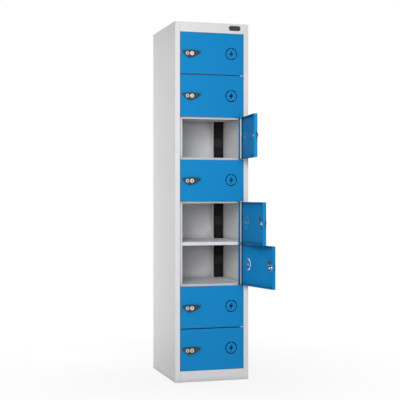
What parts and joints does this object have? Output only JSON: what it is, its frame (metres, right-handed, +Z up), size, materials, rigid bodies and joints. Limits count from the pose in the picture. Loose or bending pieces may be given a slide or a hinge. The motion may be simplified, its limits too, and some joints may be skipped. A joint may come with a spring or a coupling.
{
  "type": "charging locker",
  "caption": "Tall steel charging locker: a column of rod-hinged doors with cam locks, shelved compartments and a strip of power sockets up the rear corner.",
  "frame": {"origin": "on the floor, at the middle of the four floor fixing holes, under the middle of the cabinet", "axes": "+Z up, -Y out of the door fronts, +X towards the hinge side"},
  "size_m": [0.4151, 0.7592, 1.78],
  "materials": {
    "carcass_paint": "light grey powder coat, fine satin texture",
    "door_paint": "blue powder coat, fine satin texture",
    "trunking_paint": "white coated channel",
    "black_plastic": "black moulded plastic",
    "escutcheon_plastic": "dark grey moulded plastic, low gloss",
    "lock_metal": "satin chrome plated zinc",
    "zinc_steel": "zinc plated steel",
    "nylon": "natural nylon",
    "cable_insulation": "insulated conductors"
  },
  "bodies": {
    "carcass": {"left_side_panel": "carcass_paint", "right_side_panel": "carcass_paint", "back_panel": "carcass_paint", "top_panel": "carcass_paint", "base_panel": "carcass_paint", "hinge_rod": "zinc_steel", "hinge_brackets": "carcass_paint", "hinge_washers": "nylon", "power_trunking": "trunking_paint", "socket_strip": "black_plastic", "socket_outlets": "black_plastic", "wiring_loom": "cable_insulation", "mains_inlet": "black_plastic", "shelf_1": "carcass_paint", "shelf_2": "carcass_paint", "shelf_3": "carcass_paint", "shelf_4": "carcass_paint", "shelf_5": "carcass_paint", "shelf_6": "carcass_paint", "shelf_7": "carcass_paint"},
    "door_1": {"door_1_panel": "door_paint", "door_1_escutcheon": "escutcheon_plastic", "door_1_lock_barrel": "lock_metal"},
    "lock_1": {"door_1_lock_core": "lock_metal", "door_1_lock_cam": "zinc_steel"},
    "door_2": {"door_2_panel": "door_paint", "door_2_escutcheon": "escutcheon_plastic", "door_2_lock_barrel": "lock_metal"},
    "lock_2": {"door_2_lock_core": "lock_metal", "door_2_lock_cam": "zinc_steel"},
    "door_3": {"door_3_panel": "door_paint", "door_3_escutcheon": "escutcheon_plastic", "door_3_lock_barrel": "lock_metal"},
    "lock_3": {"door_3_lock_core": "lock_metal", "door_3_lock_cam": "zinc_steel"},
    "door_4": {"door_4_panel": "door_paint", "door_4_escutcheon": "escutcheon_plastic", "door_4_lock_barrel": "lock_metal"},
    "lock_4": {"door_4_lock_core": "lock_metal", "door_4_lock_cam": "zinc_steel"},
    "door_5": {"door_5_panel": "door_paint", "door_5_escutcheon": "escutcheon_plastic", "door_5_lock_barrel": "lock_metal"},
    "lock_5": {"door_5_lock_core": "lock_metal", "door_5_lock_cam": "zinc_steel"},
    "door_6": {"door_6_panel": "door_paint", "door_6_escutcheon": "escutcheon_plastic", "door_6_lock_barrel": "lock_metal"},
    "lock_6": {"door_6_lock_core": "lock_metal", "door_6_lock_cam": "zinc_steel"},
    "door_7": {"door_7_panel": "door_paint", "door_7_escutcheon": "escutcheon_plastic", "door_7_lock_barrel": "lock_metal"},
    "lock_7": {"door_7_lock_core": "lock_metal", "door_7_lock_cam": "zinc_steel"},
    "door_8": {"door_8_panel": "door_paint", "door_8_escutcheon": "escutcheon_plastic", "door_8_lock_barrel": "lock_metal"},
    "lock_8": {"door_8_lock_core": "lock_metal", "door_8_lock_cam": "zinc_steel"}
  },
  "joints": [
    {"name": "door_1_hinge", "type": "hinge", "parent": "carcass", "child": "door_1", "pos_m": [0.1535, -0.2175, 1.62619], "axis": [0, 0, 1], "range_deg": [0, 110]},
    {"name": "lock_1_turn", "type": "hinge", "parent": "door_1", "child": "lock_1", "pos_m": [-0.1295, -0.2175, 1.62419], "axis": [0, -1, 0], "range_deg": [0, 90]},
    {"name": "door_2_hinge", "type": "hinge", "parent": "carcass", "child": "door_2", "pos_m": [0.1535, -0.2175, 1.41656], "axis": [0, 0, 1], "range_deg": [0, 110]},
    {"name": "lock_2_turn", "type": "hinge", "parent": "door_2", "child": "lock_2", "pos_m": [-0.1295, -0.2175, 1.41456], "axis": [0, -1, 0], "range_deg": [0, 90]},
    {"name": "door_3_hinge", "type": "hinge", "parent": "carcass", "child": "door_3", "pos_m": [0.1535, -0.2175, 1.20694], "axis": [0, 0, 1], "range_deg": [-84, 26]},
    {"name": "lock_3_turn", "type": "hinge", "parent": "door_3", "child": "lock_3", "pos_m": [0.12392, -0.49895, 1.20494], "axis": [0.9945, -0.1045, 0], "range_deg": [0, 90]},
    {"name": "door_4_hinge", "type": "hinge", "parent": "carcass", "child": "door_4", "pos_m": [0.1535, -0.2175, 0.99731], "axis": [0, 0, 1], "range_deg": [0, 110]},
    {"name": "lock_4_turn", "type": "hinge", "parent": "door_4", "child": "lock_4", "pos_m": [-0.1295, -0.2175, 0.99531], "axis": [0, -1, 0], "range_deg": [0, 90]},
    {"name": "door_5_hinge", "type": "hinge", "parent": "carcass", "child": "door_5", "pos_m": [0.1535, -0.2175, 0.78769], "axis": [0, 0, 1], "range_deg": [-92, 18]},
    {"name": "lock_5_turn", "type": "hinge", "parent": "door_5", "child": "lock_5", "pos_m": [0.16338, -0.50033, 0.78569], "axis": [0.9994, 0.0349, 0], "range_deg": [0, 90]},
    {"name": "door_6_hinge", "type": "hinge", "parent": "carcass", "child": "door_6", "pos_m": [0.1535, -0.2175, 0.57806], "axis": [0, 0, 1], "range_deg": [-101, 9]},
    {"name": "lock_6_turn", "type": "hinge", "parent": "door_6", "child": "lock_6", "pos_m": [0.2075, -0.4953, 0.57606], "axis": [0.9816, 0.1908, 0], "range_deg": [0, 90]},
    {"name": "door_7_hinge", "type": "hinge", "parent": "carcass", "child": "door_7", "pos_m": [0.1535, -0.2175, 0.36844], "axis": [0, 0, 1], "range_deg": [0, 110]},
    {"name": "lock_7_turn", "type": "hinge", "parent": "door_7", "child": "lock_7", "pos_m": [-0.1295, -0.2175, 0.36644], "axis": [0, -1, 0], "range_deg": [0, 90]},
    {"name": "door_8_hinge", "type": "hinge", "parent": "carcass", "child": "door_8", "pos_m": [0.1535, -0.2175, 0.15881], "axis": [0, 0, 1], "range_deg": [0, 110]},
    {"name": "lock_8_turn", "type": "hinge", "parent": "door_8", "child": "lock_8", "pos_m": [-0.1295, -0.2175, 0.15681], "axis": [0, -1, 0], "range_deg": [0, 90]}
  ]
}
